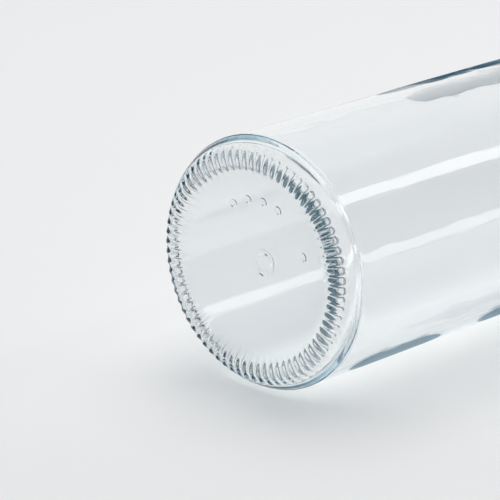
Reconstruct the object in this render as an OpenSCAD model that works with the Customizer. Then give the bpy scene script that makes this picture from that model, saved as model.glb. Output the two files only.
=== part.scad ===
// Swing-top soda bottle, 75 cl, in clear flint glass.
// The bottle stands upright on its knurled base, and +Z runs up through the mouth.
// The closure is a wire collar, a lever, a bail, a porcelain stopper and a rubber gasket.

/* [Glass body] */
// Outside diameter of the straight wall
body_d = 78; // [72:1:86]
// Height from the base to the lip
bottle_h = 300; // [285:1:330]
// Height where the straight wall ends and the shoulder starts
straight_h = 162; // [130:1:175]
// Thickness of the glass wall
wall = 3; // [2.4:0.1:3.6]
// Radius of the outer curve of the shoulder
shoulder_r = 45; // [34:1:56]
// Radius of the sweep from the shoulder up into the neck
sweep_r = 60; // [44:1:70]

/* [Base] */
// Radius of the rounded heel
heel_r = 7.3; // [6:0.1:8.5]
// Radius of the rounding from the bearing ring into the hollow
punt_round = 3; // [2.5:0.5:4]
// Depth of the hollow under the base
punt_depth = 6.5; // [5:0.5:8]
// Thickness of the glass at the middle of the base
base_t = 3.5; // [3:0.1:5]
// Thickness of the glass over the bearing ring
ring_t = 3; // [2.8:0.1:4]
// Radius of the inner corner between floor and wall
floor_round = 3.2; // [3:0.1:6]
// Number of knurls round the bearing ring
knurl_count = 72; // [48:1:84]
// Width of a knurl
knurl_w = 1.5; // [1.2:0.1:1.8]
// Height of the knurls
knurl_h = 0.7; // [0.4:0.1:0.9]

/* [Neck and lip] */
// Outside diameter of the neck
neck_d = 26.5; // [25:0.5:28]
// Inside diameter of the mouth
mouth_d = 17; // [16:0.5:18]
// Height of the lip
lip_h = 14; // [11:0.5:18]
// How far the lip stands out from the neck
lip_overhang = 2.25; // [2:0.05:3]

/* [Wire closure] */
// Diameter of the wire
wire_d = 2; // [1.6:0.1:2.2]
// Distance from the lever's pivot down to the bail's pivot, closed
crank_drop = 9; // [8:0.5:11]
// Distance from the lever's pivot down to the thumb loop, closed
thumb_drop = 33; // [28:1:38]
// Inside width of the thumb loop
thumb_w = 24; // [18:1:28]

/* [Stopper] */
// Diameter of the porcelain flange
flange_d = 26; // [25:0.5:28]
// Thickness of the porcelain flange
flange_t = 4; // [3:0.5:6]
// Diameter of the porcelain knob
knob_d = 18; // [16:0.5:20]
// Height of the knob above the flange
knob_h = 11; // [9:0.5:14]
// Thickness of the gasket
gasket_t = 3.5; // [2.5:0.5:5]

/* [Hidden] */

// Smoothness of turned forms, and of wire
turned_fn = 96;
wire_fn = 20;
arc_steps = 10;

// Glass body
body_r = body_d / 2;
neck_r = neck_d / 2;
mouth_r = mouth_d / 2;
lip_r = neck_r + lip_overhang;
lip_z = bottle_h - lip_h;
lip_top_round = 3;
lip_low_round = 1;
mouth_round = 1.5;
shoulder_x = body_r - shoulder_r;
sweep_x = neck_r + sweep_r;
sweep_rise = sqrt(pow(shoulder_r + sweep_r, 2) - pow(sweep_x - shoulder_x, 2));
sweep_z = straight_h + sweep_rise;
shoulder_turn = atan2(sweep_rise, sweep_x - shoulder_x);
bore_taper_z = lip_z - 6;

// Base
ring_r = body_r - heel_r;
punt_round_z = knurl_h + punt_round;
heel_z = knurl_h + heel_r;
punt_dome_r = dome_radius(ring_r, punt_depth, punt_round_z, punt_round);
punt_turn = dome_turn(ring_r, punt_depth, punt_round_z, punt_dome_r);
floor_x = body_r - wall - floor_round;
floor_z = knurl_h + ring_t + floor_round;
floor_top = punt_depth + base_t;
floor_dome_r = dome_radius(floor_x, floor_top, floor_z, floor_round);
floor_turn = dome_turn(floor_x, floor_top, floor_z, floor_dome_r);

// Knurls: each one's foot is a flat land between two arcs that run up into the glass
knurl_land = 0.8;
knurl_in = 0.7 * punt_round;
knurl_out = 0.67 * heel_r;
knurl_sink = 5;
in_reach = knurl_in - knurl_land / 2;
out_reach = knurl_out - knurl_land / 2;
in_z = punt_round_z - sqrt(pow(punt_round, 2) - pow(knurl_in, 2));
out_z = heel_z - sqrt(pow(heel_r, 2) - pow(knurl_out, 2));
foot_b = 2 * (out_z * in_reach + in_z * out_reach);
foot_c = out_z * pow(in_reach, 2) - in_z * pow(out_reach, 2) + in_z * out_z * (in_z - out_z);
foot_shift = -2 * foot_c / (foot_b + sqrt(pow(foot_b, 2) - 4 * (out_z - in_z) * foot_c));
foot_x = ring_r + foot_shift;
foot_r = (pow(foot_shift + in_reach, 2) + pow(in_z, 2)) / (2 * in_z);
foot_in_turn = atan2(foot_r - in_z, foot_shift + in_reach);
foot_out_turn = atan2(foot_r - out_z, out_reach - foot_shift);

// Wire closure
wire_r = wire_d / 2;
seat_gap = 0.05;
pin_gap = 0.1;
side_gap = 0.3;
bend_r = 1.6 * wire_r;
eye_r = 2 * wire_r + pin_gap;
collar_r = neck_r + wire_r + seat_gap;
collar_z = lip_z - wire_r - seat_gap;
pivot_z = collar_z - eye_r;
crank_z = pivot_z - crank_drop;
collar_eye_x = collar_r + 0.8 * wire_r;
pin_end_x = collar_eye_x - wire_r - side_gap;
crank_x = collar_eye_x + wire_r + side_gap + bend_r;
bail_x = crank_x + bend_r + side_gap + wire_r;
arm_x = bail_x + wire_r + side_gap + bend_r;
elbow_y = 9;
elbow_drop = 0.6 * thumb_drop;
thumb_y = neck_r + 4;
thumb_x = thumb_w / 2 + wire_r;
thumb_bend_r = 4;
bail_bend_r = 7;
eye_sweep = 330;
// Bends and eyes are a little fuller than the straight wire, and take in the ends that they join
bend_wire_r = 1.02 * wire_r;
bend_overlap = 0.08 * wire_r;

// Stopper
gasket_z = bottle_h + seat_gap;
flange_z = gasket_z + gasket_t + seat_gap;
knob_z = flange_z + flange_t;
hole_z = knob_z + 4.5;
hole_r = wire_r + pin_gap;
flange_r = flange_d / 2;
flange_round = 1.2;
knob_r = knob_d / 2;
knob_round = 4;
waist_round = 1.5;
stem_r = 6;
button_r = mouth_r - 1.3;
button_t = 2.6;
button_round = 1.4;
gasket_r = flange_r - 0.5;
gasket_bevel = 1;
bail_len = hole_z - crank_z;
bail_tangent = acos(eye_r / bail_len);

// Points of an arc about c, from angle a0 to angle a1
function arc(c, r, a0, a1, steps = arc_steps) =
    [for (i = [0:steps]) let (a = a0 + (a1 - a0) * i / steps) c + r * [cos(a), sin(a)]];

// Radius of a dome that is top high in its middle and meets a rounding of radius r,
// centred at height z and distance edge, without a corner; and where on the dome they meet
function dome_radius(edge, top, z, r) =
    (pow(edge, 2) + pow(z - top, 2) - pow(r, 2)) / (2 * (r - z + top));
function dome_turn(edge, top, z, dome_r) = atan2(z - top + dome_r, edge);

// Outer half section of the glass, from the middle of the punt up to the sealing land
function glass_outside() = concat(
    arc([0, punt_depth - punt_dome_r], punt_dome_r, 90, punt_turn),
    arc([ring_r, punt_round_z], punt_round, 180 + punt_turn, 270, 4),
    arc([ring_r, heel_z], heel_r, 270, 360),
    arc([shoulder_x, straight_h], shoulder_r, 0, shoulder_turn),
    arc([sweep_x, sweep_z], sweep_r, 180 + shoulder_turn, 180),
    [[neck_r, lip_z]],
    arc([lip_r - lip_low_round, lip_z + lip_low_round], lip_low_round, -90, 0, 4),
    arc([lip_r - lip_top_round, bottle_h - lip_top_round], lip_top_round, 0, 90, 6)
);

// Inner half section of the glass, from the mouth down to the middle of the floor
function glass_inside() = concat(
    arc([mouth_r + mouth_round, bottle_h - mouth_round], mouth_round, 90, 180, 4),
    [[mouth_r, bore_taper_z]],
    arc([sweep_x, sweep_z], sweep_r + wall, 180, 180 + shoulder_turn),
    arc([shoulder_x, straight_h], shoulder_r - wall, shoulder_turn, 0),
    arc([floor_x, floor_z], floor_round, 360, 180 + floor_turn),
    arc([0, floor_top - floor_dome_r], floor_dome_r, floor_turn, 90, 6)
);

// Side outline of a knurl, from its inner end, over its foot, to its outer end
function knurl_outline() = concat(
    arc([foot_x - knurl_land / 2, foot_r], foot_r, 180 + foot_in_turn - knurl_sink, 270, 4),
    arc([foot_x + knurl_land / 2, foot_r], foot_r, 270, 360 - foot_out_turn + knurl_sink, 4)
);

// Straight length of wire from p to q, lengthened at each end by overlap
module straight_wire(p, q, overlap = [0, 0]) {
    run = q - p;
    length = norm(run);
    tilt = acos(run[2] / length);
    heading = atan2(run[1], run[0]);
    translate(p) rotate([0, tilt, heading]) translate([0, 0, -overlap[0]])
        cylinder(h = length + overlap[0] + overlap[1], r = wire_r, $fn = wire_fn);
}

// Bend of radius r that leaves direction u for direction v, starting at point p
module wire_bend(p, u, v, r) {
    turn = acos(u * v);
    inward = (v - u * cos(turn)) / sin(turn);
    normal = cross(-inward, u);
    centre = p + inward * r;
    multmatrix([
        [-inward[0], u[0], normal[0], centre[0]],
        [-inward[1], u[1], normal[1], centre[1]],
        [-inward[2], u[2], normal[2], centre[2]],
        [0, 0, 0, 1]
    ])
        rotate_extrude(angle = turn, $fn = turned_fn) translate([r, 0]) circle(r = bend_wire_r, $fn = wire_fn);
}

function unit(v) = v / norm(v);
function bend_trim(a, b, c, r) = r * tan(acos(unit(b - a) * unit(c - b)) / 2);

// Wire bent through a list of points, where radii[i] rounds the corner at points[i]
// and end_overlap carries its two free ends on into an eye
module bent_wire(points, radii, end_overlap = 0) {
    last = len(points) - 1;
    for (i = [0:last - 1]) {
        u = unit(points[i + 1] - points[i]);
        trim_start = i == 0 ? 0 : bend_trim(points[i - 1], points[i], points[i + 1], radii[i]);
        trim_end = i == last - 1 ? 0 : bend_trim(points[i], points[i + 1], points[i + 2], radii[i + 1]);
        overlap = [i == 0 ? end_overlap : bend_overlap, i == last - 1 ? end_overlap : bend_overlap];
        straight_wire(points[i] + u * trim_start, points[i + 1] - u * trim_end, overlap);
        if (i < last - 1)
            wire_bend(points[i + 1] - u * trim_end, u, unit(points[i + 2] - points[i + 1]), radii[i + 1]);
    }
}

// Wire eye about an axis along X, swept from angle start, measured from +Y towards +Z
module wire_eye(x, z, start, sweep) {
    translate([x, 0, z]) rotate([90, 0, 90]) rotate([0, 0, start])
        rotate_extrude(angle = sweep, $fn = turned_fn) translate([eye_r, 0]) circle(r = bend_wire_r, $fn = wire_fn);
}

module knurl() {
    rotate([90, 0, 0])
        linear_extrude(height = knurl_w, center = true) polygon(knurl_outline());
}

module bottle() {
    color([0.86, 0.93, 0.94, 0.45]) {
        rotate_extrude($fn = turned_fn) polygon(concat(glass_outside(), glass_inside()));
        for (i = [0:knurl_count - 1]) rotate([0, 0, i * 360 / knurl_count]) knurl();
    }
}

module neck_collar() {
    color([0.70, 0.71, 0.72]) {
        translate([0, 0, collar_z])
            rotate_extrude($fn = turned_fn) translate([collar_r, 0]) circle(r = wire_r, $fn = wire_fn);
        for (side = [-1, 1]) wire_eye(side * collar_eye_x, pivot_z, 0, 360);
    }
}

// One half of the lever's bends, from the pivot pin to the thumb loop
function lever_half(side) = [
    [side * pin_end_x, 0, pivot_z],
    [side * crank_x, 0, pivot_z],
    [side * crank_x, 0, crank_z],
    [side * arm_x, 0, crank_z],
    [side * arm_x, elbow_y, pivot_z - elbow_drop],
    [side * thumb_x, thumb_y, pivot_z - thumb_drop]
];

module lever() {
    right = lever_half(1);
    left = lever_half(-1);
    back = [for (i = [len(left) - 1:-1:0]) left[i]];
    radii = [0, bend_r, bend_r, bend_r, thumb_bend_r, thumb_bend_r];
    color([0.70, 0.71, 0.72])
        bent_wire(concat(right, back), concat(radii, [for (i = [len(radii) - 1:-1:0]) radii[i]]));
}

module bail() {
    foot = [0, eye_r * sin(bail_tangent), eye_r * cos(bail_tangent)] + [0, 0, crank_z];
    top = [0, 0, hole_z];
    reach = [bail_x, 0, 0];
    color([0.70, 0.71, 0.72]) {
        bent_wire(
            [foot + reach, top + reach, top - reach, foot - reach],
            [0, bail_bend_r, bail_bend_r, 0],
            bend_overlap
        );
        for (side = [-1, 1]) wire_eye(side * bail_x, crank_z, 90 - bail_tangent, -eye_sweep);
    }
}

module stopper() {
    color([0.95, 0.94, 0.91])
        difference() {
            rotate_extrude($fn = turned_fn) polygon(concat(
                [[0, gasket_z - button_t]],
                arc([button_r - button_round, gasket_z - button_t + button_round], button_round, -90, 0, 4),
                [[button_r, gasket_z - seat_gap], [stem_r, gasket_z - seat_gap], [stem_r, flange_z]],
                [[flange_r, flange_z]],
                arc([flange_r - flange_round, knob_z - flange_round], flange_round, 0, 90, 4),
                arc([knob_r + waist_round, knob_z + waist_round], waist_round, 270, 180, 4),
                arc([knob_r - knob_round, knob_z + knob_h - knob_round], knob_round, 0, 90, 6),
                [[0, knob_z + knob_h]]
            ));
            translate([0, 0, hole_z]) rotate([0, 90, 0])
                cylinder(h = flange_d, r = hole_r, center = true, $fn = wire_fn);
        }
}

module gasket() {
    inner_r = stem_r + pin_gap;
    color([0.72, 0.30, 0.20])
        rotate_extrude($fn = turned_fn) polygon([
            [inner_r, gasket_z],
            [gasket_r - gasket_bevel, gasket_z],
            [gasket_r, gasket_z + gasket_bevel],
            [gasket_r, gasket_z + gasket_t],
            [inner_r, gasket_z + gasket_t]
        ]);
}

bottle();
neck_collar();
lever();
bail();
stopper();
gasket();
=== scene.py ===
import math

import bpy
from mathutils import Matrix, Vector


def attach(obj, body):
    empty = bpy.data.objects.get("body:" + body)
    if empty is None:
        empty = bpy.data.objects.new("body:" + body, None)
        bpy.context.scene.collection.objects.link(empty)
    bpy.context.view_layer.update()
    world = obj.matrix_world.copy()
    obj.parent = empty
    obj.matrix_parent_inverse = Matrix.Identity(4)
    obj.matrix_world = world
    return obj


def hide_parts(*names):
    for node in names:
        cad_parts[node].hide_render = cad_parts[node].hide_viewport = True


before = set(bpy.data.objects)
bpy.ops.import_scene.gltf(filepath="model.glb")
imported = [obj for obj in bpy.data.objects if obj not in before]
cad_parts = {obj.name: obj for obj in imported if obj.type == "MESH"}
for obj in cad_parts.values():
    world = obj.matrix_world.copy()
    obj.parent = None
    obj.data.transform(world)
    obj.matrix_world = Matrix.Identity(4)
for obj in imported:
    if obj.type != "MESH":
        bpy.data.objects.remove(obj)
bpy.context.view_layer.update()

mm = 0.001

# the camera is set by a point on the bottle's axis, at the height of the heel, in mm and degrees
view = {
    "pointHeight": 7.8,
    "elevation": 17.8,      # above the surface the bottle lies on
    "turn": 43.2,           # away from the bottle's axis
    "distance": 932.0,
    "pointRight": 5.1,      # how far the point lies right of the view's middle
    "pointBelow": 3.5,
    "lens": 226.0,
}


def deselectAll():
    if bpy.context.object and bpy.context.object.mode != "OBJECT":
        bpy.ops.object.mode_set(mode="OBJECT")
    bpy.ops.object.select_all(action="DESELECT")


def pick(piece):
    deselectAll()
    piece.select_set(True)
    bpy.context.view_layer.objects.active = piece


def linear(hexColour):
    channels = [int(hexColour[i:i + 2], 16) / 255 for i in (1, 3, 5)]
    return tuple(c / 12.92 if c <= 0.04045 else ((c + 0.055) / 1.055) ** 2.4 for c in channels) + (1.0,)


def addNode(tree, kind, settings=None, inputs=None, links=None):
    node = tree.nodes.new(kind)
    for name, value in (settings or {}).items():
        setattr(node, name, value)
    for name, value in (inputs or {}).items():
        node.inputs[name].default_value = value
    for name, socket in (links or {}).items():
        tree.links.new(socket, node.inputs[name])
    return node


def newMaterial(name):
    material = bpy.data.materials.new(name)
    material.use_nodes = True
    material.node_tree.nodes.clear()
    return material, material.node_tree


# a turn that makes a flat thing face one way and run along another
def turnedTo(facing, along):
    facing = Vector(facing).normalized()
    side = Vector(along).cross(facing).normalized()
    return Matrix((side, facing.cross(side), facing)).transposed().to_4x4()


def applyPlace(piece, matrix):
    piece.matrix_world = matrix
    bpy.ops.object.transform_apply(location=True, rotation=True, scale=True)


def addCamera():
    rise = math.radians(view["elevation"])
    turn = math.radians(view["turn"])
    forward = Vector((math.cos(rise) * math.sin(turn), -math.sin(rise), math.cos(rise) * math.cos(turn)))
    right = Vector((-math.cos(turn), 0, math.sin(turn)))
    up = Vector((math.sin(rise) * math.sin(turn), math.cos(rise), math.sin(rise) * math.cos(turn)))
    point = Vector((0, 0, view["pointHeight"] * mm))
    place = point - (forward * view["distance"] + right * view["pointRight"] - up * view["pointBelow"]) * mm
    data = bpy.data.cameras.new("camera")
    data.lens = view["lens"]
    data.clip_start = 0.01
    camera = bpy.data.objects.new("camera", data)
    bpy.context.scene.collection.objects.link(camera)
    axes = Matrix((right, up, -forward)).transposed().to_4x4()
    camera.matrix_world = Matrix.Translation(place) @ axes
    bpy.context.scene.camera = camera
    print("camera set")


addCamera()

# glass outline in mm, with the base's knurled ring and its hollow
glassForm = {
    "bodyRadius": 39.0,
    "wall": 3.0,
    "straightTop": 162.0,
    "shoulderRadius": 45.0,
    "sweepRadius": 60.0,
    "neckRadius": 13.25,
    "lipBottom": 286.0,
    "lipRadius": 15.5,
    "lipLowRound": 1.0,
    "lipTopRound": 3.0,
    "top": 300.0,
    "mouthRadius": 8.5,
    "mouthRound": 1.5,
    "mouthDepth": 6.0,      # the mouth's width goes on this far below the foot of the lip
    "heelRadius": 7.3,
    "rimRadius": 3.0,
    "puntDepth": 6.5,
    "baseThickness": 3.5,
    "rimThickness": 3.0,
    "floorRound": 3.2,
    "seamTurn": 12.5,       # place of the mould's seam on the heel, in degrees below the wall
    "seamHeight": 0.16,
    "seamHalfWidth": 0.2,
    "knurls": 72,
    "stepsPerKnurl": 8,
    "knurlHeight": 0.7,
    "knurlInner": 29.6,
    "knurlOuter": 36.6,
    "knurlTop": 4.0,        # keeps knurls off the glass above the ring
    "mergeGap": 0.002,
}
# how many straight steps make each round part of the outline
glassSteps = {
    "punt": 18,
    "rim": 4,
    "heel": 22,
    "seam": 1,
    "aboveSeam": 3,
    "shoulder": 12,
    "lipLow": 5,
    "lipTop": 8,
    "mouth": 5,
    "floorRound": 14,
    "floor": 14,
}


def arcPoints(centre, radius, start, end, steps):
    angles = [math.radians(start + (end - start) * i / steps) for i in range(steps + 1)]
    return [(centre[0] + radius * math.cos(a), centre[1] + radius * math.sin(a)) for a in angles]


def domeRadius(edge, top, roundCentre, roundRadius):
    drop = roundCentre - top
    return (edge ** 2 + drop ** 2 - roundRadius ** 2) / (2 * (roundRadius - drop))


def domeArc(edge, top, roundCentre, roundRadius, steps):
    radius = domeRadius(edge, top, roundCentre, roundRadius)
    angle = math.degrees(math.atan2(roundCentre - top + radius, edge))
    return arcPoints((0, top - radius), radius, 90, angle, steps), angle


def glassOutline(g, steps):
    shoulderX = g["bodyRadius"] - g["shoulderRadius"]
    sweepX = g["neckRadius"] + g["sweepRadius"]
    rise = math.sqrt((g["shoulderRadius"] + g["sweepRadius"]) ** 2 - (sweepX - shoulderX) ** 2)
    sweepZ = g["straightTop"] + rise
    turn = math.degrees(math.atan2(rise, sweepX - shoulderX))
    lipX = g["lipRadius"]
    ringX = g["bodyRadius"] - g["heelRadius"]
    rimZ = g["knurlHeight"] + g["rimRadius"]
    heelZ = g["knurlHeight"] + g["heelRadius"]
    floorX = g["bodyRadius"] - g["wall"] - g["floorRound"]
    floorZ = g["knurlHeight"] + g["rimThickness"] + g["floorRound"]
    floorTop = g["puntDepth"] + g["baseThickness"]
    punt, puntAngle = domeArc(ringX, g["puntDepth"], rimZ, g["rimRadius"], steps["punt"])
    floor, floorAngle = domeArc(floorX, floorTop, floorZ, g["floorRound"], steps["floor"])
    outside = punt + arcPoints((ringX, rimZ), g["rimRadius"], 180 + puntAngle, 270, steps["rim"])[1:]
    heel, radius, seam = (ringX, heelZ), g["heelRadius"], -g["seamTurn"]
    span = math.degrees(g["seamHalfWidth"] / radius)
    outside += arcPoints(heel, radius, -90, seam - span, steps["heel"])[1:]
    outside += arcPoints(heel, radius + g["seamHeight"], seam - span / 4, seam + span / 4, steps["seam"])
    outside += arcPoints(heel, radius, seam + span, 0, steps["aboveSeam"])
    shoulder, sweep = (shoulderX, g["straightTop"]), (sweepX, sweepZ)
    outside += arcPoints(shoulder, g["shoulderRadius"], 0, turn, steps["shoulder"])
    outside += arcPoints(sweep, g["sweepRadius"], 180 + turn, 180, steps["shoulder"])[1:]
    outside += [(g["neckRadius"], g["lipBottom"])]
    lipLow = (lipX - g["lipLowRound"], g["lipBottom"] + g["lipLowRound"])
    lipTop = (lipX - g["lipTopRound"], g["top"] - g["lipTopRound"])
    mouth = (g["mouthRadius"] + g["mouthRound"], g["top"] - g["mouthRound"])
    outside += arcPoints(lipLow, g["lipLowRound"], -90, 0, steps["lipLow"])
    outside += arcPoints(lipTop, g["lipTopRound"], 0, 90, steps["lipTop"])
    inside = arcPoints(mouth, g["mouthRound"], 90, 180, steps["mouth"])
    inside += [(g["mouthRadius"], g["lipBottom"] - g["mouthDepth"])]
    inside += arcPoints(sweep, g["sweepRadius"] + g["wall"], 180, 180 + turn, steps["shoulder"])
    inside += arcPoints(shoulder, g["shoulderRadius"] - g["wall"], turn, 0, steps["shoulder"])[1:]
    inside += arcPoints((floorX, floorZ), g["floorRound"], 0, floorAngle - 180, steps["floorRound"])
    inside += floor[-2::-1]
    return [(x * mm, z * mm) for x, z in outside + inside]


def turnedShell(name, outline, steps, mergeGap):
    deselectAll()
    bpy.ops.mesh.primitive_plane_add(size=mm, location=(0, 0, 0))
    piece = bpy.context.object
    piece.name = name
    bpy.ops.object.mode_set(mode="EDIT")
    bpy.ops.mesh.merge(type="CENTER")
    first = outline[0]
    bpy.ops.transform.translate(value=(first[0], 0, first[1]))
    for here, there in zip(outline, outline[1:]):
        step = (there[0] - here[0], 0, there[1] - here[1])
        bpy.ops.mesh.extrude_region_move(TRANSFORM_OT_translate={"value": step})
    bpy.ops.object.mode_set(mode="OBJECT")
    bpy.ops.object.transform_apply(location=True, rotation=True, scale=True)
    turned = piece.modifiers.new("turned", "SCREW")
    turned.axis = "Z"
    turned.angle = math.tau
    turned.steps = steps
    turned.render_steps = steps
    turned.use_merge_vertices = True
    turned.merge_threshold = mergeGap
    bpy.ops.object.modifier_apply(modifier="turned")
    bpy.ops.object.mode_set(mode="EDIT")
    bpy.ops.mesh.select_all(action="SELECT")
    bpy.ops.mesh.remove_doubles(threshold=mergeGap)
    bpy.ops.mesh.normals_make_consistent(inside=False)
    bpy.ops.object.mode_set(mode="OBJECT")
    return piece


def knurlShare(co, g):
    radius = math.hypot(co.x, co.y) / mm
    middle = (g["knurlInner"] + g["knurlOuter"]) / 2
    along = (radius - middle) / (g["knurlOuter"] - middle)
    if co.z / mm > g["knurlTop"] or abs(along) >= 1:
        return 0.0
    phase = math.atan2(co.y, co.x) / math.tau * g["knurls"]
    across = 0.5 + 0.5 * math.cos(math.tau * phase)
    return across * math.sqrt(1 - along ** 2)


def raiseKnurls(piece, g):
    group = piece.vertex_groups.new(name="knurls")
    for vertex in piece.data.vertices:
        share = knurlShare(vertex.co, g)
        if share > 0.001:
            group.add([vertex.index], share, "REPLACE")
    pick(piece)
    raised = piece.modifiers.new("knurls", "DISPLACE")
    raised.vertex_group = "knurls"
    raised.direction = "NORMAL"
    raised.mid_level = 0.0
    raised.strength = g["knurlHeight"] * mm
    bpy.ops.object.modifier_apply(modifier="knurls")
    piece.vertex_groups.clear()


def buildGlass(g):
    outline = glassOutline(g, glassSteps)
    piece = turnedShell("glassBottle", outline, g["knurls"] * g["stepsPerKnurl"], g["mergeGap"] * mm)
    raiseKnurls(piece, g)
    pick(piece)
    bpy.ops.object.shade_smooth()
    return piece


glass = buildGlass(glassForm)
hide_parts("bottle")
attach(glass, "glass")
print("glass built:", len(glass.data.polygons), "faces")


# pattern sizes in mm
flint = {
    "index": 1.52,
    "waveWidth": 26.0,      # the mould leaves slow waves in the wall
    "waveHeight": 0.28,
    "rippleWidth": 7.0,     # and finer ripples, drawn out along the bottle
    "rippleLength": 30.0,
    "rippleHeight": 0.05,
    "markHeight": 0.4,
    "markEdge": 0.6,
    "markTop": 6.55,        # marks stand only in the hollow under the base
    "marks": [              # middle, radius of a ring or 0 for a pip, half width
        ((0.0, 0.0), 3.4, 0.35),
        ((10.4, 16.9), 0.0, 0.9),
        ((4.5, 19.3), 0.0, 0.9),
        ((-1.7, 19.7), 0.0, 0.9),
        ((-7.6, 18.3), 0.0, 0.9),
        ((-17.5, 6.0), 0.0, 0.9),
    ],
    "shadowFace": "#F8F7F6",
    "shadowEdge": "#B4B9BC",
    "soak": (0.46, 0.67, 0.75, 1),      # iron takes red out of a long way through the glass
    "soakDensity": 20.0,
}


# Flint glass, blown in a mould and fire polished: clear, mirror smooth, with slow waves in its wall,
# and with low marks that the base plate of the mould leaves.
def flintGlass(f):
    material, tree = newMaterial("flintGlassBlownAndFirePolished")
    path = addNode(tree, "ShaderNodeLightPath")
    place = addNode(tree, "ShaderNodeTexCoord")
    flat = addNode(tree, "ShaderNodeVectorMath", {"operation": "MULTIPLY"}, {1: (1, 1, 0)}, {
        0: place.outputs["Object"]})
    waves = addNode(tree, "ShaderNodeTexNoise", inputs={
        "Scale": 1 / (f["waveWidth"] * mm), "Detail": 1.0, "Roughness": 0.4}, links={
        "Vector": place.outputs["Object"]})
    swell = addNode(tree, "ShaderNodeBump", inputs={
        "Strength": 1.0, "Distance": f["waveHeight"] * mm}, links={"Height": waves.outputs["Fac"]})
    drawn = addNode(tree, "ShaderNodeVectorMath", {"operation": "MULTIPLY"}, {
        1: (1, 1, f["rippleWidth"] / f["rippleLength"])}, {0: place.outputs["Object"]})
    ripples = addNode(tree, "ShaderNodeTexNoise", inputs={
        "Scale": 1 / (f["rippleWidth"] * mm), "Detail": 2.0, "Roughness": 0.5}, links={
        "Vector": drawn.outputs[0]})
    rippled = addNode(tree, "ShaderNodeBump", inputs={
        "Strength": 1.0, "Distance": f["rippleHeight"] * mm}, links={
        "Height": ripples.outputs["Fac"], "Normal": swell.outputs[0]})
    raised = None
    for middle, radius, half in f["marks"]:
        away = addNode(tree, "ShaderNodeVectorMath", {"operation": "DISTANCE"}, {
            1: (middle[0] * mm, middle[1] * mm, 0)}, {0: flat.outputs[0]})
        offset = addNode(tree, "ShaderNodeMath", {"operation": "SUBTRACT"}, {1: radius * mm}, {
            0: away.outputs["Value"]})
        reach = addNode(tree, "ShaderNodeMath", {"operation": "ABSOLUTE"}, links={0: offset.outputs[0]})
        rise = addNode(tree, "ShaderNodeMapRange", {"interpolation_type": "SMOOTHSTEP"}, {
            "From Min": (half + f["markEdge"]) * mm, "From Max": half * mm}, {0: reach.outputs[0]})
        raised = rise if raised is None else addNode(tree, "ShaderNodeMath", {"operation": "MAXIMUM"}, links={
            0: raised.outputs[0], 1: rise.outputs[0]})
    split = addNode(tree, "ShaderNodeSeparateXYZ", links={0: place.outputs["Object"]})
    under = addNode(tree, "ShaderNodeMath", {"operation": "LESS_THAN"}, {1: f["markTop"] * mm}, {
        0: split.outputs["Z"]})
    marked = addNode(tree, "ShaderNodeMath", {"operation": "MULTIPLY"}, links={
        0: raised.outputs[0], 1: under.outputs[0]})
    relief = addNode(tree, "ShaderNodeBump", inputs={
        "Strength": 1.0, "Distance": f["markHeight"] * mm}, links={
        "Height": marked.outputs[0], "Normal": rippled.outputs[0]})
    body = addNode(tree, "ShaderNodeBsdfPrincipled", inputs={
        "Base Color": (1, 1, 1, 1), "Roughness": 0.0, "IOR": f["index"], "Transmission Weight": 1.0}, links={
        "Normal": relief.outputs[0]})
    edge = addNode(tree, "ShaderNodeLayerWeight", inputs={"Blend": 0.35})
    passed = addNode(tree, "ShaderNodeMix", {"data_type": "RGBA"}, {
        "A": linear(f["shadowFace"]), "B": linear(f["shadowEdge"])}, {"Factor": edge.outputs["Facing"]})
    clear = addNode(tree, "ShaderNodeBsdfTransparent", links={"Color": passed.outputs["Result"]})
    mix = addNode(tree, "ShaderNodeMixShader", links={
        0: path.outputs["Is Shadow Ray"], 1: body.outputs[0], 2: clear.outputs[0]})
    soak = addNode(tree, "ShaderNodeVolumeAbsorption", inputs={
        "Color": f["soak"], "Density": f["soakDensity"]})
    addNode(tree, "ShaderNodeOutputMaterial", links={"Surface": mix.outputs[0], "Volume": soak.outputs[0]})
    return material


tinned = {
    "low": "#A3A6A9",
    "high": "#C9CBCD",
    "patch": 1.6,           # size of the dull and bright patches in the tin
    "line": 0.12,           # width of the lines left by the drawing die
    "lineHeight": 0.004,
}


# Steel wire, drawn and hot tinned: bright grey, a little blotchy, with fine lines from the die.
def tinnedWire(t):
    material, tree = newMaterial("steelWireDrawnAndTinned")
    place = addNode(tree, "ShaderNodeTexCoord")
    patches = addNode(tree, "ShaderNodeTexNoise", inputs={
        "Scale": 1 / (t["patch"] * mm), "Detail": 4.0, "Roughness": 0.6}, links={
        "Vector": place.outputs["Object"]})
    tone = addNode(tree, "ShaderNodeMix", {"data_type": "RGBA"}, {
        "A": linear(t["low"]), "B": linear(t["high"])}, {"Factor": patches.outputs["Fac"]})
    dull = addNode(tree, "ShaderNodeMapRange", inputs={"To Min": 0.18, "To Max": 0.42}, links={
        0: patches.outputs["Fac"]})
    lines = addNode(tree, "ShaderNodeTexNoise", inputs={
        "Scale": 1 / (t["line"] * mm), "Detail": 2.0}, links={"Vector": place.outputs["Object"]})
    grain = addNode(tree, "ShaderNodeBump", inputs={
        "Strength": 0.6, "Distance": t["lineHeight"] * mm}, links={"Height": lines.outputs["Fac"]})
    body = addNode(tree, "ShaderNodeBsdfPrincipled", inputs={"Metallic": 1.0}, links={
        "Base Color": tone.outputs["Result"], "Roughness": dull.outputs[0], "Normal": grain.outputs[0]})
    addNode(tree, "ShaderNodeOutputMaterial", links={"Surface": body.outputs[0]})
    return material


porcelain = {
    "body": "#F1EEE6",
    "shade": "#E6E2D8",
    "speck": "#8C7E6C",
    "cloud": 7.0,
    "speckSpacing": 1.5,
    "peel": 2.2,            # dimples of the glaze
    "peelHeight": 0.02,
}


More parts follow.
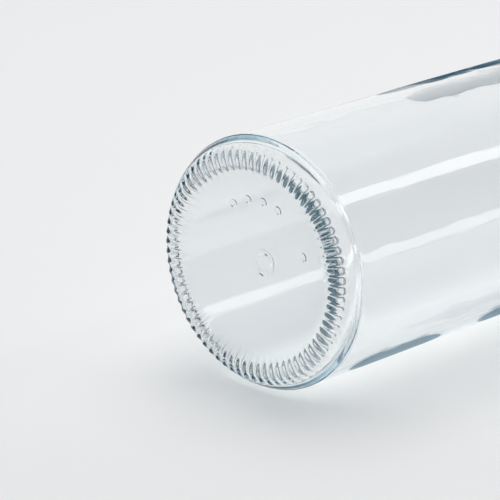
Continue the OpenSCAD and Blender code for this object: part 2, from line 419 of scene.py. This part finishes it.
# Porcelain, glazed and fired: warm white with a few iron specks, under a wet-looking glaze.
def glazedPorcelain(c):
    material, tree = newMaterial("porcelainGlazedAndFired")
    place = addNode(tree, "ShaderNodeTexCoord")
    clouds = addNode(tree, "ShaderNodeTexNoise", inputs={
        "Scale": 1 / (c["cloud"] * mm), "Detail": 3.0}, links={"Vector": place.outputs["Object"]})
    tone = addNode(tree, "ShaderNodeMix", {"data_type": "RGBA"}, {
        "A": linear(c["body"]), "B": linear(c["shade"])}, {"Factor": clouds.outputs["Fac"]})
    cells = addNode(tree, "ShaderNodeTexVoronoi", {"feature": "F1"}, {
        "Scale": 1 / (c["speckSpacing"] * mm)}, {"Vector": place.outputs["Object"]})
    near = addNode(tree, "ShaderNodeMapRange", inputs={
        "From Min": 0.10, "From Max": 0.04, "To Min": 0.0, "To Max": 0.5}, links={
        0: cells.outputs["Distance"]})
    specked = addNode(tree, "ShaderNodeMix", {"data_type": "RGBA"}, {"B": linear(c["speck"])}, {
        "Factor": near.outputs[0], "A": tone.outputs["Result"]})
    dimples = addNode(tree, "ShaderNodeTexNoise", inputs={
        "Scale": 1 / (c["peel"] * mm), "Detail": 1.0}, links={"Vector": place.outputs["Object"]})
    glaze = addNode(tree, "ShaderNodeBump", inputs={
        "Strength": 0.5, "Distance": c["peelHeight"] * mm}, links={"Height": dimples.outputs["Fac"]})
    body = addNode(tree, "ShaderNodeBsdfPrincipled", inputs={
        "Roughness": 0.32, "IOR": 1.5, "Coat Weight": 1.0, "Coat Roughness": 0.04}, links={
        "Base Color": specked.outputs["Result"], "Normal": glaze.outputs[0], "Coat Normal": glaze.outputs[0]})
    addNode(tree, "ShaderNodeOutputMaterial", links={"Surface": body.outputs[0]})
    return material


rubber = {
    "red": "#A8402B",
    "bloom": "#BD6650",     # pale bloom that rises on old rubber
    "bloomPatch": 4.0,
    "grain": 0.35,
    "grainHeight": 0.02,
}


# Natural rubber, pressed in a mould: dull brick red with a pale bloom and a fine grain.
def mouldedRubber(r):
    material, tree = newMaterial("naturalRubberMoulded")
    place = addNode(tree, "ShaderNodeTexCoord")
    patches = addNode(tree, "ShaderNodeTexNoise", inputs={
        "Scale": 1 / (r["bloomPatch"] * mm), "Detail": 5.0, "Roughness": 0.65}, links={
        "Vector": place.outputs["Object"]})
    tone = addNode(tree, "ShaderNodeMix", {"data_type": "RGBA"}, {
        "A": linear(r["red"]), "B": linear(r["bloom"])}, {"Factor": patches.outputs["Fac"]})
    dull = addNode(tree, "ShaderNodeMapRange", inputs={"To Min": 0.48, "To Max": 0.72}, links={
        0: patches.outputs["Fac"]})
    grains = addNode(tree, "ShaderNodeTexNoise", inputs={
        "Scale": 1 / (r["grain"] * mm), "Detail": 2.0}, links={"Vector": place.outputs["Object"]})
    skin = addNode(tree, "ShaderNodeBump", inputs={
        "Strength": 0.6, "Distance": r["grainHeight"] * mm}, links={"Height": grains.outputs["Fac"]})
    body = addNode(tree, "ShaderNodeBsdfPrincipled", inputs={"IOR": 1.52, "Specular IOR Level": 0.4}, links={
        "Base Color": tone.outputs["Result"], "Roughness": dull.outputs[0], "Normal": skin.outputs[0]})
    addNode(tree, "ShaderNodeOutputMaterial", links={"Surface": body.outputs[0]})
    return material


def dress(piece, material):
    piece.data.materials.clear()
    piece.data.materials.append(material)


dress(glass, flintGlass(flint))
wire = tinnedWire(tinned)
for name in ("neck_collar", "lever", "bail"):
    dress(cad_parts[name], wire)
dress(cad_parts["stopper"], glazedPorcelain(porcelain))
dress(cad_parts["gasket"], mouldedRubber(rubber))
print("finishes done")


def addPlane(name, centre, normal, up, width, height):
    deselectAll()
    bpy.ops.mesh.primitive_grid_add(x_subdivisions=4, y_subdivisions=4, size=1)
    piece = bpy.context.object
    piece.name = name
    size = Matrix.Diagonal((width, height, 1, 1))
    applyPlace(piece, Matrix.Translation(Vector(centre)) @ turnedTo(normal, up) @ size)
    return piece


# Matt paper, white for the floors and grey for the cards, which paint shade into the glass: a sheet shows on
# its face alone, to the eye and in the glass, and light passes through it otherwise.
def paperMaterial(name, hexColour, mirrored=False):
    material, tree = newMaterial(name)
    place = addNode(tree, "ShaderNodeNewGeometry")
    path = addNode(tree, "ShaderNodeLightPath")
    paper = addNode(tree, "ShaderNodeBsdfDiffuse", inputs={"Color": linear(hexColour)})
    clear = addNode(tree, "ShaderNodeBsdfTransparent")
    bent = addNode(tree, "ShaderNodeMath", {"operation": "MAXIMUM"}, links={
        0: path.outputs["Is Transmission Ray"], 1: path.outputs["Is Glossy Ray"]})
    seen = addNode(tree, "ShaderNodeMath", {"operation": "MAXIMUM"}, links={
        0: bent.outputs[0], 1: path.outputs["Is Camera Ray"]})
    if mirrored:            # only light that was reflected on its way sees it
        seen = addNode(tree, "ShaderNodeMath", {"operation": "GREATER_THAN"}, {1: 0.5}, {
            0: path.outputs["Glossy Depth"]})
    shown = addNode(tree, "ShaderNodeMath", {"operation": "SUBTRACT", "use_clamp": True}, links={
        0: seen.outputs[0], 1: place.outputs["Backfacing"]})
    mix = addNode(tree, "ShaderNodeMixShader", links={
        0: shown.outputs[0], 1: clear.outputs[0], 2: paper.outputs[0]})
    addNode(tree, "ShaderNodeOutputMaterial", links={"Surface": mix.outputs[0]})
    return material


# one sheet under the bottle as it lies, and one under it as it stands, with sizes in metres
paperGap = 0.05             # between the glass and the paper, in mm
layingHeight = -(glassForm["bodyRadius"] + paperGap) * mm
layingFloor = addPlane("layingFloor", (0, layingHeight, 0.1), (0, 1, 0), (0, 0, 1), 1.4, 1.6)
dress(layingFloor, paperMaterial("whitePaperLaying", "#F9F9F9"))
standingFloor = addPlane("standingFloor", (0, 0, -paperGap * mm), (0, 0, 1), (0, 1, 0), 1.8, 1.8)
dress(standingFloor, paperMaterial("whitePaperStanding", "#E8E8E9"))
print("floors laid")

# grey cards, places and sizes in mm, hidden from the eye: they make the dark streaks along the glass's edges,
# as painted reflections.
# The mirrored two lie on the floor and show by way of a reflection alone, never straight through the wall:
# painted shade by the bottle's contact, which the glass mirrors.
cards = {
    # painted shade: grey sheets on the floor that only the glass's reflections show
    "nearPaintedShadeCard": {"middle": (-17, -38.9, 50), "normal": (0, 1, 0), "along": (0.05, 0, 1), "size": (14, 44),
                 "tone": "#8CA0AC", "mirrored": True},
    "farPaintedShadeCard": {"middle": (-17, -38.9, 112), "normal": (0, 1, 0), "along": (0.05, 0, 1), "size": (14, 46),
                "tone": "#8CA0AC", "mirrored": True},
    # painted dark reflection: a blue-grey sheet that shows through the glass as a dark streak along its upper
    # edge
    "backPaintedReflectionCard": {"middle": (316, 22, 480), "normal": (-1, 0, 0), "along": (0, 0, 1), "size": (150, 170),
                 "tone": "#6E9BB8", "mirrored": False},
}


def addCard(name, c):
    deselectAll()
    bpy.ops.mesh.primitive_circle_add(vertices=48, radius=0.5, fill_type="NGON")
    piece = bpy.context.object
    piece.name = name
    across, along = c["size"]
    place = Matrix.Translation(Vector(c["middle"]) * mm)
    size = Matrix.Diagonal((across * mm, along * mm, 1, 1))
    applyPlace(piece, place @ turnedTo(c["normal"], c["along"]) @ size)
    dress(piece, paperMaterial(name, c["tone"], c["mirrored"]))
    piece.visible_camera = False
    piece.visible_diffuse = False
    piece.visible_shadow = False


for name, card in cards.items():
    addCard(name, card)
print("cards set:", len(cards))


# directions are towards each lamp, distances and sizes in metres
lampAim = (0, 0, 0.06)
lamps = {
    "longSoftbox": {"towards": (-0.41, 0.591, 0.694), "distance": 1.3, "width": 0.17, "length": 1.5,
                    "strength": 1.9, "through": True},
    "ceilingSoftbox": {"towards": (0.1, 1.0, 0.15), "distance": 1.5, "width": 1.6, "length": 1.6,
                       "strength": 2.2, "through": False},
}


def addLamp(name, lamp, along=(0, 0, 1)):
    back = Vector(lamp["towards"]).normalized()
    data = bpy.data.lights.new(name, "AREA")
    data.shape = "RECTANGLE"
    data.size = lamp["width"]
    data.size_y = lamp["length"]
    data.energy = lamp["strength"] * math.pi * lamp["width"] * lamp["length"]
    box = bpy.data.objects.new(name, data)
    bpy.context.scene.collection.objects.link(box)
    box.matrix_world = Matrix.Translation(back * lamp["distance"] + Vector(lampAim)) @ turnedTo(back, along)
    box.visible_camera = False
    box.visible_transmission = lamp["through"]     # whether it shows through clear glass


for name, lamp in lamps.items():
    addLamp(name, lamp)
print("lamps set:", len(lamps))


# a pale room: it lights the bottle softly, and clear glass shows the dark part of it, behind the camera
room = {
    "white": "#F7F7F7",
    "grey": "#65686B",
    "dark": "#43535F",
    "whiteTowards": (0.66, 0.15, 0.72),
    "whiteFrom": 0.35,
    "whiteTo": 0.85,
    "darkTowards": (-0.65, 0.31, -0.69),
    "darkFrom": -0.6,
    "darkTo": 0.1,
    "levelFrom": 0.15,      # white again all round a standing bottle
    "levelTo": 0.4,
}


def addShare(tree, place, towards, start, end):
    facing = addNode(tree, "ShaderNodeVectorMath", {"operation": "DOT_PRODUCT"}, {
        1: Vector(towards).normalized()}, {0: place.outputs["Generated"]})
    return addNode(tree, "ShaderNodeMapRange", {"interpolation_type": "SMOOTHSTEP"}, {
        "From Min": start, "From Max": end}, {0: facing.outputs["Value"]}).outputs[0]


def addWorld(r):
    world = bpy.data.worlds.new("studio")
    bpy.context.scene.world = world
    world.use_nodes = True
    tree = world.node_tree
    tree.nodes.clear()
    path = addNode(tree, "ShaderNodeLightPath")
    place = addNode(tree, "ShaderNodeTexCoord")
    beyond = addShare(tree, place, r["whiteTowards"], r["whiteFrom"], r["whiteTo"])
    behind = addShare(tree, place, r["darkTowards"], r["darkFrom"], r["darkTo"])
    split = addNode(tree, "ShaderNodeSeparateXYZ", links={0: place.outputs["Generated"]})
    slope = addNode(tree, "ShaderNodeMath", {"operation": "ABSOLUTE"}, links={0: split.outputs["Z"]})
    steep = addNode(tree, "ShaderNodeMapRange", {"interpolation_type": "SMOOTHSTEP"}, {
        "From Min": r["levelFrom"], "From Max": r["levelTo"]}, {0: slope.outputs[0]})
    hidden = addNode(tree, "ShaderNodeMath", {"operation": "MULTIPLY"}, links={
        0: behind, 1: steep.outputs[0]})
    pale = addNode(tree, "ShaderNodeMath", {"operation": "MAXIMUM"}, links={
        0: beyond, 1: path.outputs["Is Camera Ray"]})
    lit = addNode(tree, "ShaderNodeMix", {"data_type": "RGBA"}, {
        "A": linear(r["grey"]), "B": linear(r["white"])}, {"Factor": pale.outputs[0]})
    shown = addNode(tree, "ShaderNodeMix", {"data_type": "RGBA"}, {
        "A": linear(r["white"]), "B": linear(r["dark"])}, {"Factor": hidden.outputs[0]})
    tone = addNode(tree, "ShaderNodeMix", {"data_type": "RGBA"}, links={
        "Factor": path.outputs["Is Transmission Ray"],
        "A": lit.outputs["Result"], "B": shown.outputs["Result"]})
    back = addNode(tree, "ShaderNodeBackground", links={"Color": tone.outputs["Result"]})
    addNode(tree, "ShaderNodeOutputWorld", links={"Surface": back.outputs[0]})


addWorld(room)
bpy.context.scene.view_settings.view_transform = "Standard"
# with far fewer, light that goes a long way inside the glass ends black
bounces = 120
cycles = bpy.context.scene.cycles
cycles.max_bounces = bounces
cycles.transmission_bounces = bounces
cycles.glossy_bounces = bounces
cycles.transparent_max_bounces = bounces
